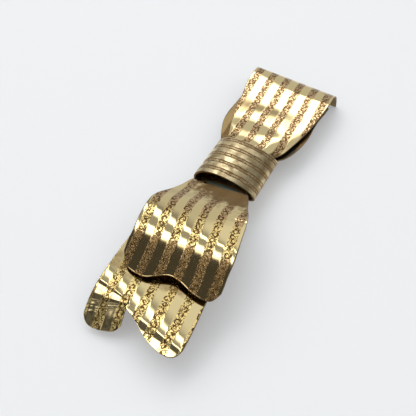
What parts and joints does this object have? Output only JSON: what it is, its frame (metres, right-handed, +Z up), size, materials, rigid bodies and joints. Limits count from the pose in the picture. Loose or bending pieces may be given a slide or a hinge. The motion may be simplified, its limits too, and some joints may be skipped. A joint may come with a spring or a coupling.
{
  "type": "ribbon bow brooch",
  "caption": "Bow brooch of striped rolled sheet: a folded loop and two overlapping tails held by a knot band, with a pin behind.",
  "frame": {"origin": "middle of the brooch's outline seen from above, on the surface it lies on", "axes": "+X across the ribbon to the right of the front, +Y along the brooch from the tails to the fold of the top loop, +Z up out of the front"},
  "size_m": [0.014, 0.0521, 0.0077],
  "materials": {
    "rolled_gold": "worn polish with engraved stripes",
    "pin_metal": "satin"
  },
  "bodies": {
    "root": {"front_ribbon": "rolled_gold", "back_ribbon": "rolled_gold", "knot_band": "rolled_gold", "pin": "pin_metal"}
  },
  "joints": []
}
